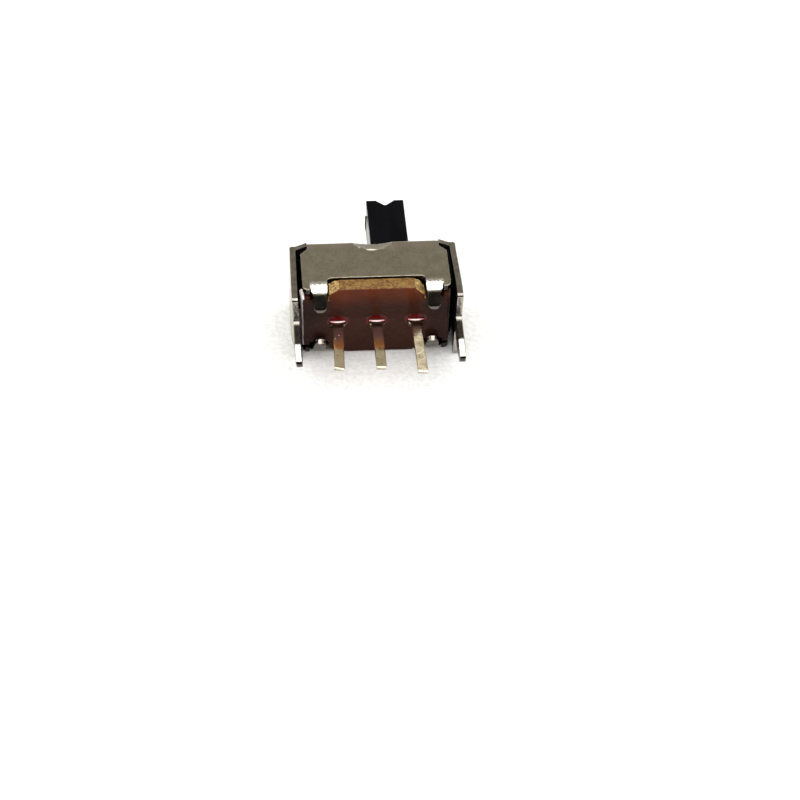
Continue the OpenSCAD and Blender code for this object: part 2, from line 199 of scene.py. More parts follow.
def sheet_mesh(loops, profile, columns, rows, clear, place, wear=lambda x, y: 1.0):
    """A sheet cut along closed loops (the first round the outside, the others round holes).

    profile lists rings from the outer face over the cut edge to the inner face, as inset, depth
    (0 outer face, 1 inner face), roughness of the cut, and the material of the strip after it.
    place(x, y, depth) folds a point of the flat sheet into space; wear(x, y) widens the insets.
    """
    ways = [inward(loop) for loop in loops]
    flat, depth, faces, marks, rings = [], [], [], [], []
    for inset, level, rough, _ in profile:
        ring = []
        for loop, way in zip(loops, ways):
            first = len(flat)
            for (x, y), (wx, wy) in zip(loop, way):
                d = inset * wear(x, y)
                if rough:
                    d += rough * noise.noise((x * 3.1, y * 3.1, 7 * level)) + \
                        0.6 * rough * noise.noise((x * 9.7, y * 9.7, 3 + 7 * level))
                flat.append((x + wx * d, y + wy * d))
                depth.append(level)
            ring.append(range(first, len(flat)))
        rings.append(ring)
    for j in range(len(rings) - 1):
        for a, b in zip(rings[j], rings[j + 1]):
            for i in range(len(a)):
                k = (i + 1) % len(a)
                faces.append((a[i], a[k], b[k], b[i]))
                marks.append(profile[j][3])

    cells = {}
    for indices in rings[0]:
        for i in indices:
            x, y = flat[i]
            cells.setdefault((math.floor(x / clear), math.floor(y / clear)), []).append((x, y))
    inner = []
    for x in columns:
        for y in rows:
            if not near(x, y, cells, clear) and within(x, y, loops[0]) and \
                    not any(within(x, y, hole) for hole in loops[1:]):
                inner.append((x, y))
    border, links = [], []
    for indices in rings[0]:
        first = len(border)
        border += [flat[i] for i in indices]
        links += [(first + i, first + (i + 1) % len(indices)) for i in range(len(indices))]
    points = border + inner
    joined, _, triangles, origin = delaunay_2d_cdt([Vector(p) for p in points], links, [], 1, 1e-7)[:4]
    index = []
    for p, old in zip(joined, origin):
        if not old:                            # two sides of a tight corner cross here
            old = [len(points)]
            points.append(tuple(p))
            inner.append(tuple(p))
        index.append(old[0])
    tops = [i for indices in rings[0] for i in indices]
    bottoms = [i for indices in rings[-1] for i in indices]
    for level, side, mark in ((0.0, tops, profile[0][3]), (1.0, bottoms, profile[-1][3])):
        first = len(flat)
        flat += inner
        depth += [level] * len(inner)
        for triangle in triangles:
            ids = [index[i] for i in triangle]
            cx = sum(points[i][0] for i in ids) / 3
            cy = sum(points[i][1] for i in ids) / 3
            if any(within(cx, cy, hole) for hole in loops[1:]):
                continue
            faces.append([side[i] if i < len(border) else first + i - len(border) for i in ids])
            marks.append(mark)
    verts = [place(x, y, w) for (x, y), w in zip(flat, depth)]
    return verts, faces, marks


def spread(*spans):
    """Numbers from each span (start, end, step), and the same below zero."""
    out = set()
    for start, end, step in spans:
        count = max(1, round((end - start) / step))
        out |= {round(start + (end - start) * i / count, 5) for i in range(count + 1)}
    return sorted(out | {-v for v in out})


def smooth(v, low, high):
    """A soft step from 0 at low to 1 at high."""
    v = min(1.0, max(0.0, (v - low) / (high - low)))
    return v * v * (3 - 2 * v)


# ---------------------------------------------------------------- node helpers

class Tree:
    """A material's or the world's node tree, built socket by socket."""

    def __init__(self, owner):
        owner.use_nodes = True
        self.nt = owner.node_tree
        self.nt.nodes.clear()

    def node(self, kind, inputs=(), **settings):
        n = self.nt.nodes.new("ShaderNode" + kind)
        for k, v in settings.items():
            setattr(n, k, v)
        for k, v in dict(inputs).items():
            self.put(n.inputs[k], v)
        return n

    def put(self, socket, value):
        if isinstance(value, bpy.types.NodeSocket):
            self.nt.links.new(value, socket)
        elif isinstance(value, (tuple, list)) and len(value) == 3 and socket.type == "RGBA":
            socket.default_value = (*value, 1)
        else:
            socket.default_value = value

    def math(self, op, *values):
        return self.node("Math", enumerate(values), operation=op).outputs[0]

    def times(self, first, *others):
        for value in others:
            first = self.math("MULTIPLY", first, value)
        return first

    def plus(self, a, b):
        return self.math("ADD", a, b)

    def minus(self, a, b):
        return self.math("SUBTRACT", a, b)

    def unsigned(self, value):
        return self.math("ABSOLUTE", value)

    def ramp(self, value, low, high, out_low=0.0, out_high=1.0):
        n = self.node("MapRange", {"Value": value, "From Min": low, "From Max": high,
                                   "To Min": out_low, "To Max": out_high}, interpolation_type="SMOOTHSTEP")
        return n.outputs[0]

    def mix(self, factor, a, b):
        n = self.node("Mix", data_type="RGBA")
        self.put(n.inputs[0], factor)
        self.put(n.inputs[6], a)
        self.put(n.inputs[7], b)
        return n.outputs[2]

    def noise(self, where, scale, detail=3.0, rough=0.5, distortion=0.0):
        return self.node("TexNoise", {"Vector": where, "Scale": scale, "Detail": detail,
                                      "Roughness": rough, "Distortion": distortion}).outputs[0]

    def cells(self, where, scale):
        return self.node("TexVoronoi", {"Vector": where, "Scale": scale}).outputs["Distance"]

    def place(self, stretch=(1, 1, 1)):
        """Object coordinates in millimetres, stretched along each axis."""
        co = self.node("TexCoord").outputs["Object"]
        n = self.node("Mapping", {"Vector": co, "Scale": [1 / MM * s for s in stretch]})
        return n.outputs[0]

    def axis(self, where, i):
        return self.node("SeparateXYZ", {"Vector": where}).outputs[i]

    def bump(self, height, distance, strength):
        n = self.node("Bump", {"Height": height, "Distance": distance * MM, "Strength": strength})
        return n.outputs[0]

    def surface(self, shader):
        out = self.node("OutputMaterial")
        self.put(out.inputs[0], shader)

    def principled(self, **inputs):
        n = self.node("BsdfPrincipled", {k.replace("_", " "): v for k, v in inputs.items()})
        return n.outputs[0]


def material(name):
    m = bpy.data.materials.new(name)
    return m, Tree(m)


# ---------------------------------------------------------------- light and floor

def build_world():
    world = bpy.data.worlds.new("studio")
    bpy.context.scene.world = world
    t = Tree(world)
    x, y, z = t.node("SeparateXYZ", {"Vector": t.node("TexCoord").outputs["Generated"]}).outputs
    # angle along the arc from the horizon behind (+Y, 0) over the zenith to the horizon in front (180)
    arc_at = t.times(t.math("ARCTAN2", z, y), 180 / math.pi)
    bright = t.times(t.ramp(arc_at, 53.5, 66), t.ramp(arc_at, 128, 140, 1, 0))
    # the lamp reaches less far to the sides
    bright = t.times(bright, t.ramp(t.unsigned(x), 0.55, 0.85, 1, 0.2))
    back = t.mix(t.ramp(arc_at, 15, 42), (0.55, 0.51, 0.45), (0.39, 0.365, 0.31))
    back = t.mix(t.ramp(arc_at, 140, 152), back, (0.012, 0.011, 0.01))
    sky = t.mix(bright, back, (2.75, 2.75, 2.75))
    sky = t.mix(t.ramp(z, -0.02, 0.0), (0.3, 0.3, 0.3), sky)
    lit = t.node("Background", {"Color": sky, "Strength": 1.0})
    white = t.node("Background", {"Color": (1, 1, 1), "Strength": 1.0})
    seen = t.node("LightPath").outputs["Is Camera Ray"]
    both = t.node("MixShader", {0: seen, 1: lit.outputs[0], 2: white.outputs[0]})
    out = t.node("OutputWorld")
    t.put(out.inputs[0], both.outputs[0])


def build_floor():
    me = bpy.data.meshes.new("floor")
    half = 1.2
    corners = ((-1, -1), (1, -1), (1, 1), (-1, 1))
    me.from_pydata([(half * x, half * y, 0) for x, y in corners], [], [(0, 1, 2, 3)])
    floor = bpy.data.objects.new("floor", me)
    bpy.context.scene.collection.objects.link(floor)
    m, t = material("floor")
    p = t.place()
    grain = t.plus(t.times(t.noise(p, 2.6, 4, 0.65), 0.6), t.times(t.noise(p, 9, 2, 0.6), 0.4))
    paper = t.mix(t.ramp(grain, 0.36, 0.64), (0.76, 0.76, 0.755), (0.93, 0.93, 0.925))
    # only camera rays see all of the floor pale; to every other ray it is dark well in front of the part,
    # and dimmer well behind it
    y = t.axis(p, 1)
    near_by = t.times(t.ramp(y, -75, -45), t.ramp(y, 25, 90, 1, 0.25))
    dim = t.mix(near_by, (0.02, 0.018, 0.016), paper)
    seen = t.node("LightPath").outputs["Is Camera Ray"]
    t.surface(t.principled(Base_Color=t.mix(seen, dim, paper), Roughness=0.9, Specular_IOR_Level=0.1,
                           Normal=t.bump(grain, 0.05, 0.4)))
    me.materials.append(m)


# ---------------------------------------------------------------- materials

def steel_face():
    """Dull plated sheet: faint mottling, fine specks and soft streaks from the rolls."""
    m, t = material("steel_face")
    p = t.place()
    streak = t.noise(t.place((4, 0.5, 0.5)), 1.1, 3, 0.55)
    mottle = t.noise(p, 1.1, 5, 0.6)
    fine = t.noise(p, 9, 4, 0.6)
    pits = t.ramp(t.cells(p, 3.1), 0.03, 0.12)
    tone = t.mix(t.ramp(mottle, 0.25, 0.75), (0.35, 0.324, 0.247), (0.408, 0.376, 0.292))
    tone = t.mix(t.ramp(streak, 0.45, 0.72, 0, 0.5), tone, (0.40, 0.33, 0.275))
    speckle = t.noise(p, 5.5, 2, 0.6)
    tints = t.mix(t.ramp(t.noise(p, 3.2, 1, 0.5), 0.4, 0.6), (0.45, 0.40, 0.34), (0.40, 0.41, 0.31))
    tone = t.mix(t.ramp(speckle, 0.3, 0.7, 0, 0.6), tone, tints)
    tone = t.mix(t.ramp(speckle, 0.28, 0.45, 0.35, 0), tone, (0.27, 0.25, 0.19))
    tone = t.mix(t.ramp(fine, 0.62, 0.8, 0, 0.3), tone, (0.46, 0.43, 0.35))
    tone = t.mix(pits, (0.23, 0.21, 0.16), tone)
    # a little paler towards the folds at the top
    side, y = t.unsigned(t.axis(p, 0)), t.axis(p, 1)
    tone = t.mix(t.ramp(y, PLATE_Y - 1.5, PLATE_Y - 0.5, 0, 0.55), tone, (0.49, 0.42, 0.375))
    height = t.plus(t.plus(t.times(fine, 0.35), t.times(mottle, 0.8)), t.times(pits, 0.25))
    # the bent claws are crazed where the skin is stretched
    claw_y, slit_y = PLATE_Y - CLAW_Y, PLATE_Y - SLIT_Y
    bend = t.times(t.ramp(y, claw_y - 0.05, claw_y + 0.4, 1, 0), t.ramp(y, slit_y - 0.75, slit_y - 0.5),
                   t.ramp(side, CLAW_OUT, CLAW_OUT + 0.08, 1, 0))
    crazed = t.noise(p, 7, 3, 0.7)
    height = t.plus(height, t.times(bend, t.times(crazed, 4.5)))
    # the crazed skin is paler here, and the raised tone is in part a painted highlight that brightens the
    # bend
    tone = t.mix(bend, tone, t.mix(t.ramp(crazed, 0.4, 0.6), (0.55, 0.53, 0.48), (0.95, 0.93, 0.90)))
    # and the blades beyond are painted near black, a painted shade for the dark they reflect
    blade = t.times(t.ramp(y, slit_y - 0.8, slit_y - 0.6, 1, 0),
                    t.ramp(side, CLAW_OUT + 0.25, CLAW_OUT + 0.45, 1, 0))
    tone = t.mix(t.times(blade, 0.75), tone, (0.075, 0.064, 0.062))
    t.surface(t.principled(Base_Color=tone, Metallic=1.0, Roughness=t.ramp(mottle, 0.3, 0.7, 0.17, 0.24),
                           Normal=t.bump(height, 0.01, 0.4)))
    return m


def steel_edge():
    """Sheared edges: bright and dark where they turn, with fine tears through the thickness."""
    m, t = material("steel_edge")
    p = t.place()
    torn = t.noise(p, 14, 4, 0.65)
    mottle = t.noise(p, 2.2, 3, 0.5)
    tone = t.mix(t.ramp(mottle, 0.35, 0.65), (0.268, 0.246, 0.222), (0.375, 0.35, 0.318))
    side, y = t.unsigned(t.axis(p, 0)), t.axis(p, 1)
    # the tails are painted dark above their tapers as painted shade, and on the tapers are burnished, their
    # raised tone in part a painted highlight
    ragged = t.plus(y, t.times(t.minus(mottle, 0.5), 0.5))
    taper_y, seat_y, foot_y = PLATE_Y - TAPER_Y, PLATE_Y - FLANGE_H, PLATE_Y - WALL_H
    tail_shade = t.times(t.ramp(ragged, taper_y - 0.1, taper_y + 0.05),
                    t.ramp(ragged, seat_y - 0.5, seat_y - 0.3, 1, 0))
    tone = t.mix(t.times(tail_shade, 0.85), tone, (0.045, 0.036, 0.032))
    tone = t.mix(t.ramp(ragged, taper_y - 0.1, taper_y + 0.05, 1, 0), tone, (0.62, 0.60, 0.57))
    # the tips and the walls' feet are painted dark as painted shade
    tip_y = PLATE_Y - TAIL_TIP
    tone = t.mix(t.ramp(y, tip_y + 0.1, tip_y + 0.16, 0.9, 0), tone, (0.03, 0.026, 0.024))
    foot = t.times(t.ramp(y, foot_y + 0.2, foot_y + 0.4, 1, 0), t.ramp(side, CLAW_OUT, CLAW_OUT + 0.05),
                   t.ramp(side, WALL_HALF + 0.1, WALL_HALF + 0.2, 1, 0))
    tone = t.mix(t.times(foot, 0.92), tone, (0.05, 0.043, 0.04))
    # the seats beside the tails are duller, and painted lighter as a painted reflection of the floor
    seat = t.times(t.ramp(y, seat_y - 0.35, seat_y - 0.2), t.ramp(y, seat_y - 0.05, seat_y + 0.1, 1, 0))
    tone = t.mix(t.times(seat, 0.45), tone, (0.48, 0.44, 0.39))
    rough = t.plus(t.ramp(torn, 0.3, 0.7, 0.07, 0.16), t.times(seat, 0.18))
    t.surface(t.principled(Base_Color=tone, Metallic=1.0, Roughness=rough, Normal=t.bump(torn, 0.004, 0.4)))
    return m


def steel_inner():
    """The unlit inner face of the sheet, painted near black as painted shade."""
    m, t = material("steel_inner")
    p = t.place()
    smear = t.noise(t.place((1, 0.4, 1)), 1.4, 4, 0.6, 0.6)
    tone = t.mix(t.ramp(smear, 0.35, 0.7), (0.012, 0.01, 0.01), (0.07, 0.062, 0.058))
    t.surface(t.principled(Base_Color=tone, Metallic=0.8, Roughness=t.ramp(smear, 0.3, 0.7, 0.2, 0.42),
                           Specular_IOR_Level=0.3, Normal=t.bump(t.noise(p, 9, 3, 0.5), 0.01, 0.4)))
    return m


def brass():
    """Tarnished strip under thin tin: golden grey, with pits and pale specks, and painted shade and a painted
    reflection of the board near it.
    """
    m, t = material("plated_brass")
    p = t.place()
    soft = t.noise(p, 1.3, 4, 0.6)
    fine = t.noise(p, 8, 3, 0.6)
    pits = t.ramp(t.cells(p, 1.9), 0.07, 0.14)
    tone = t.mix(t.ramp(soft, 0.35, 0.65), (0.78, 0.66, 0.44), (0.88, 0.79, 0.60))
    tone = t.mix(pits, (0.12, 0.09, 0.05), tone)
    tone = t.mix(t.ramp(fine, 0.62, 0.75, 0, 0.4), tone, (0.93, 0.88, 0.72))
    x, y = t.axis(p, 0), t.axis(p, 1)
    # distance from the strip's middle
    off = t.unsigned(t.minus(x, t.times(t.math("ROUND", t.math("DIVIDE", x, PITCH)), PITCH)))
    # red lacquer has crept over the shoulder's rim, and painted shade, a painted dark reflection of the
    # board, darkens the shoulder but not its corners
    rim = t.ramp(y, BOARD_Y - 0.5, BOARD_Y - 0.42)
    ends = t.ramp(t.plus(off, t.times(t.minus(soft, 0.5), 0.9)), 0.2, 0.55)
    tone = t.mix(rim, tone, t.mix(ends, (0.47, 0.36, 0.345), (0.34, 0.15, 0.14)))
    corner = t.plus(off, t.ramp(y, BOARD_Y - 0.92, BOARD_Y - 0.55, 0.2, 0))
    shoulder_shade = t.times(t.ramp(y, BOARD_Y - 1.2, BOARD_Y - 0.9), t.minus(1, rim), t.ramp(corner, 0.5, 0.56, 1, 0))
    tone = t.mix(t.times(shoulder_shade, 0.5), tone, (0.12, 0.06, 0.06))
    # a painted reflection of the brown board near it, less metallic there, though not on the bent strip
    board_reflection = t.times(t.ramp(y, BOARD_Y - 3.5, BOARD_Y - 3.25), t.ramp(x, 0.6 * PITCH, 0.6 * PITCH + 0.4, 1, 0),
                   t.ramp(y, BOARD_Y - 1.1, BOARD_Y - 0.8, 1, 0))
    board_reflection_tone = t.mix(t.ramp(y, BOARD_Y - 2.95, BOARD_Y - 1.95), (0.85, 0.46, 0.17), (0.80, 0.55, 0.46))
    tone = t.mix(board_reflection, tone, board_reflection_tone)
    board_reflection = t.times(board_reflection, t.ramp(y, BOARD_Y - 2.95, BOARD_Y - 1.75, 0.09, 0.04))
    t.surface(t.principled(Base_Color=tone, Metallic=t.minus(1, board_reflection),
                           Roughness=t.ramp(soft, 0.3, 0.7, 0.07, 0.12),
                           Normal=t.bump(t.plus(fine, t.times(pits, 2)), 0.01, 0.4)))
    return m


def cropped():
    """The cropped ends of the strips, duller than their faces."""
    m, t = material("cropped_brass")
    torn = t.noise(t.place((1, 1, 3)), 6, 4, 0.65)
    tone = t.mix(t.ramp(torn, 0.35, 0.65), (0.55, 0.47, 0.36), (0.95, 0.90, 0.80))
    t.surface(t.principled(Base_Color=tone, Metallic=0.9, Roughness=0.35, Normal=t.bump(torn, 0.02, 0.5)))
    return m


def bronze():
    """Clean spring strip, faintly clouded."""
    m, t = material("bronze")
    soft = t.noise(t.place(), 1.5, 4, 0.6)
    tone = t.mix(t.ramp(soft, 0.35, 0.65), (0.52, 0.31, 0.15), (0.68, 0.45, 0.26))
    t.surface(t.principled(Base_Color=tone, Metallic=1.0, Roughness=t.ramp(soft, 0.3, 0.7, 0.22, 0.36)))
    return m


def plastic():
    """Smooth black moulding with a faint flow pattern and a fine grain."""
    m, t = material("black_plastic")
    flow = t.noise(t.place((1, 0.35, 1)), 0.9, 3, 0.5, 0.4)
    grain = t.noise(t.place(), 13, 3, 0.6)
    tone = t.mix(t.ramp(flow, 0.3, 0.7), (0.0004, 0.0004, 0.0012), (0.0014, 0.0014, 0.0028))
    t.surface(t.principled(Base_Color=tone, Roughness=t.ramp(flow, 0.3, 0.7, 0.12, 0.17),
                           Specular_IOR_Level=0.04, Normal=t.bump(grain, 0.003, 0.25)))
    return m


def laminate():
    """The board's lacquered face: dark red-brown paper phenolic under gloss."""
    m, t = material("laminate_face")
    p = t.place()
    cloud = t.noise(p, 0.5, 4, 0.55)
    fibre = t.noise(t.place((1, 1, 4)), 3, 4, 0.6)
    z = t.minus(t.axis(p, 2), MID_Z)
    side = t.unsigned(t.axis(p, 0))
    # painted light: the face is lighter towards the top, where the light from above falls on it
    tone = t.mix(t.ramp(z, 1.2, 3.1), (0.048, 0.0165, 0.0105), (0.15, 0.034, 0.013))
    tone = t.mix(t.ramp(side, 3.2, 4.6, 0, 0.6), tone, (0.021, 0.0105, 0.0098))
    tone = t.mix(t.ramp(cloud, 0.35, 0.65, 0.3, 0), tone, (0.026, 0.011, 0.008))
    tone = t.mix(t.ramp(fibre, 0.5, 0.75, 0, 0.35), tone, (0.11, 0.05, 0.028))
    t.surface(t.principled(Base_Color=tone, Roughness=0.12, Specular_IOR_Level=0.07,
                           Normal=t.bump(cloud, 0.02, 0.25)))
    return m


def laminate_edge():
    """Sheared phenolic: granular, golden, with the paper's layers showing."""
    m, t = material("laminate_edge")
    p = t.place()
    grain = t.noise(t.place((1, 1.8, 1)), 4.2, 5, 0.75)
    clump = t.noise(p, 1.8, 3, 0.6)
    tone = t.mix(t.ramp(grain, 0.42, 0.61), (0.072, 0.026, 0.006), (0.27, 0.135, 0.024))
    tone = t.mix(t.ramp(clump, 0.42, 0.7, 0, 0.35), tone, (0.38, 0.23, 0.065))
    # the chamfers broke cleanly and are paler
    clean_cut = t.mix(t.ramp(grain, 0.40, 0.60), (0.13, 0.06, 0.016), (0.56, 0.38, 0.14))
    x, y, z = (t.axis(p, i) for i in range(3))
    side = t.unsigned(x)
    tone = t.mix(t.ramp(side, TONGUE - CHAMFER_X - 0.04, TONGUE - CHAMFER_X + 0.03), tone, clean_cut)
    # one short end is painted pale as painted light, most at the top, and the other is darker
    end = t.mix(t.ramp(z, MID_Z - 1.25, MID_Z + 2.35), (0.62, 0.52, 0.48), (1.0, 0.90, 0.86))
    end = t.mix(t.ramp(x, -1, 1), end, (0.05, 0.03, 0.025))
    tone = t.mix(t.ramp(side, BOARD_END - 0.42, BOARD_END - 0.32), tone, end)
    # the face's lacquer laps unevenly over the edge
    lap = t.plus(y, t.times(t.minus(t.noise(p, 1.3, 4, 0.6), 0.5), 0.55))
    lap = t.times(t.ramp(lap, BOARD_Y - 0.06, BOARD_Y + 0.01, 1, 0),
                  t.ramp(side, BOARD_END - 0.62, BOARD_END - 0.42, 1, 0))
    tone = t.mix(lap, tone, (0.14, 0.04, 0.015))
    t.surface(t.principled(Base_Color=tone, Roughness=0.55, Specular_IOR_Level=0.35,
                           Normal=t.bump(grain, 0.05, 0.8)))
    return m


def lacquer():
    """Clear red lacquer, browner where it thins out over the board."""
    m, t = material("red_lacquer")
    p = t.place()
    cloud = t.noise(p, 3, 3, 0.5)
    tone = t.mix(t.ramp(cloud, 0.3, 0.7), (0.075, 0.003, 0.003), (0.165, 0.007, 0.007))
    thick = t.minus(BOARD_Y, t.axis(p, 1))
    tone = t.mix(t.ramp(thick, -0.005, 0.05), (0.048, 0.0125, 0.009), tone)
    t.surface(t.principled(Base_Color=tone, Roughness=0.08, Specular_IOR_Level=0.2,
                           Normal=t.bump(cloud, 0.02, 0.4)))
    return m


# ---------------------------------------------------------------- folded frame

def wall_row(depth_y):
    """Where a depth on a wall lies in the flat blank."""
    return PLATE_EDGE + WALL_FLAT + depth_y - FOLD


def flange_column(depth_y):
    """Where a depth on a flange lies in the flat blank."""
    return FLANGE_ROOT + FLANGE_FLAT + depth_y - FOLD


def blank_quarter(flange_edge):
    """The blank's outline from a tail's tip to the middle of a wall's lower edge."""
    tip_r, fillet, corner, foot_r, recess_r = 0.4, 0.4, 0.3, 0.4, 0.36
    tip_u = flange_column(TAIL_TIP) - tip_r
    taper_u = flange_column(TAPER_Y)
    seat = flange_column(FLANGE_H)
    lean = math.degrees(math.atan2(TAIL_HALF - tip_r, tip_u - taper_u))
    foot, bottom, slit = wall_row(WALL_H), wall_row(CLAW_Y), wall_row(SLIT_Y)
    blade = bottom + CLAW_FLAT + CLAW_BLADE
    path = arc(tip_u, 0, tip_r, 0, 90 - lean, 7)
    path += [(taper_u, TAIL_HALF), (seat + fillet, TAIL_HALF)]
    path += arc(seat + fillet, TAIL_HALF + fillet, fillet, 270, 180, 7)[1:]
    path += arc(seat - corner, flange_edge - corner, corner, 0, 90, 7)
    path += [(FLANGE_ROOT, flange_edge), (BEND_HALF + 0.012, HALF_W - 0.05),
             (BEND_HALF + 0.012, PLATE_EDGE - 0.02), (BEND_HALF, PLATE_EDGE - 0.02),
             (BEND_HALF, wall_row(0.8)), (WALL_HALF, wall_row(1.4))]
    path += arc(WALL_HALF - foot_r, foot - foot_r, foot_r, 0, 90, 7)
    path += [(CLAW_OUT + 0.06, foot), (CLAW_OUT + 0.03, slit + 0.12), (CLAW_OUT, slit + 0.06),
             (CLAW_OUT - 0.03, slit + 0.35), (CLAW_X + CLAW_TIP_R, bottom + CLAW_FLAT)]
    path += arc(CLAW_X, blade, CLAW_TIP_R, 0, 180, 14)
    path += [(CLAW_X - CLAW_TIP_R, bottom + CLAW_FLAT), (CLAW_IN + 0.02, slit + 0.35), (CLAW_IN, slit)]
    path += arc(CLAW_IN - recess_r, wall_row(RECESS_Y) + recess_r, recess_r, 0, -90, 6)
    return path


def bend_outer(t, r, straight):
    """Advance and drop along a fold's outer face, from its start (t = 0) to its end (t = 1)."""
    s = t * (2 * straight + r * math.pi / 2) - straight
    if s <= 0:
        return s + straight, 0.0
    if s >= r * math.pi / 2:
        return straight + r, r + s - r * math.pi / 2
    return straight + r * math.sin(s / r), r * (1 - math.cos(s / r))


def bend_inner(t):
    """The same along its inner face."""
    a = t * math.pi / 2
    return BEND_INNER_R * math.sin(a), SHEET_T + BEND_INNER_R * (1 - math.cos(a))


def folded(u, v, level):
    """A point of one face of the blank (level 0 outer, 1 inner) in the drawing frame."""
    au, av = abs(u), abs(v)
    su, sv = math.copysign(1, u), math.copysign(1, v)
    inset = SHEET_T if level else 0
    if au > FLANGE_ROOT:
        q = au - FLANGE_ROOT
        if q < FLANGE_FLAT:
            t = q / FLANGE_FLAT
            go, drop = bend_inner(t) if level else bend_outer(t, FLANGE_BEND_R, FOLD - FLANGE_BEND_R)
            return su * (FLANGE_ROOT + go), -drop, v
        return su * (SPAN / 2 - inset), -FOLD - (q - FLANGE_FLAT), v
    if av <= PLATE_EDGE or (au > BEND_HALF + 0.015 and av < HALF_W + 0.05):
        return u, -inset, v
    q = av - PLATE_EDGE
    if q < WALL_FLAT:
        t = q / WALL_FLAT
        go, drop = bend_inner(t) if level else bend_outer(t, WALL_BEND_R, FOLD - WALL_BEND_R)
        return u, -drop, sv * (PLATE_EDGE + go)
    depth = FOLD + q - WALL_FLAT
    if depth > CLAW_Y and CLAW_IN - 0.1 < au < CLAW_OUT + 0.03:
        q = depth - CLAW_Y
        a = min(1.0, q / CLAW_FLAT) * CLAW_TURN
        r = CLAW_R - inset
        y = -CLAW_Y - r * math.sin(a)
        z = HALF_W - CLAW_R + r * math.cos(a)
        if q > CLAW_FLAT:
            y -= (q - CLAW_FLAT) * math.cos(a)
            z -= (q - CLAW_FLAT) * math.sin(a)
            # the blades' ends droop, each by its own measure
            droop = (0.25 if v < 0 else 1.2 if u < 0 else 1.8) * \
                max(0.0, q - CLAW_FLAT - CLAW_BLADE - 0.14) ** 2
            y += droop * math.sin(a)
            z -= droop * math.cos(a)
        flat_z = HALF_W - inset
        bent = 1 - smooth(au, CLAW_OUT - 0.03, CLAW_OUT + 0.03) if depth < SLIT_Y + 0.06 else 1.0
        return u, -depth + (y + depth) * bent, sv * (flat_z + (z - flat_z) * bent)
    return u, -depth, sv * (HALF_W - inset)


def bell(v, middle, width):
    """A soft hump, 1 at its middle."""
    return math.exp(-((v - middle) / width) ** 2)


CHORD = math.hypot(DENT_ON_WALL, DENT_ON_PLATE)
PRESS_Y, PRESS_Z = -DENT_ON_PLATE / CHORD, -DENT_ON_WALL / CHORD


def dented(x, y, z, level):
    """Presses a point near the middle of a top bend down to the dent's floor."""
    reach = 1 - smooth(abs(x), DENT_HALF - 0.05, DENT_HALF + 0.07)
    if reach <= 0 or y < -2:
        return x, y, z
    side = math.copysign(1, z)
    fold_z = abs(z)
    below = y * PRESS_Y + (fold_z - (HALF_W - DENT_ON_PLATE)) * PRESS_Z
    floor = math.sqrt(DENT_R ** 2 - min(abs(x), DENT_HALF) ** 2) - DENT_R + (SHEET_T if level else 0)
    lift = floor - below
    if lift <= -0.3:
        return x, y, z
    if y < -0.6:                               # the lip the punch raises below the dent
        humps = ((1, -0.15, 0.42), (0.35, 0.75, 0.35), (0.8, -1.1, 0.09), (0.7, 1.36, 0.06))
        lip = 0.1 + sum(tall * bell(x, middle, width) for tall, middle, width in humps)
        lip *= 0.055 * reach * bell(lift, 0.005, 0.03)
        z += side * lip
        fold_z += lip
    if lift <= -0.04:
        return x, y, z
    # a small fillet where the floor meets the faces
    push = (lift + 0.04) ** 2 / 0.16 if lift < 0.04 else lift
    return x, y + PRESS_Y * push * reach, side * (fold_z + PRESS_Z * push * reach)


def frame_point(u, v, depth):
    """A point of the blank, between its outer (depth 0) and inner face, in the drawing frame."""
    outer, inner = dented(*folded(u, v, 0), 0), dented(*folded(u, v, 1), 1)
    across = [b - a for a, b in zip(outer, inner)]
    p = [a + step * depth for a, step in zip(outer, across)]
    # the faint waves that folding and barrelling leave
    wave = 0.006 * noise.noise(Vector(p) * 0.9 + Vector((0, 0, 5))) + 0.003 * noise.noise(Vector(p) * 2.7)
    size = math.hypot(*across) or 1
    p = [a + step / size * (wave + 0.008) for a, step in zip(p, across)]
    if abs(u) > FLANGE_ROOT:
        # the bends sprang back a little, the right one more at its shoulder than at its tail
        p[0] += 0.0135 * p[1] if u < 0 else 0.105 * smooth(-p[1], 0.2, 5) * (1 - 0.3 * smooth(-p[1], 6.4, 9))
        # and they toe in towards the low side, below where the carrier stops
        p[0] += (0.052 if u < 0 else -0.024) * (FLANGE_HIGH - p[2]) * smooth(-p[1], 3.2, 6)
        if u < 0:                              # this tail is twisted a little further
            p[0] += 0.08 * (TAIL_HALF - p[2]) * smooth(-p[1], 6.3, 7.5)
    return p


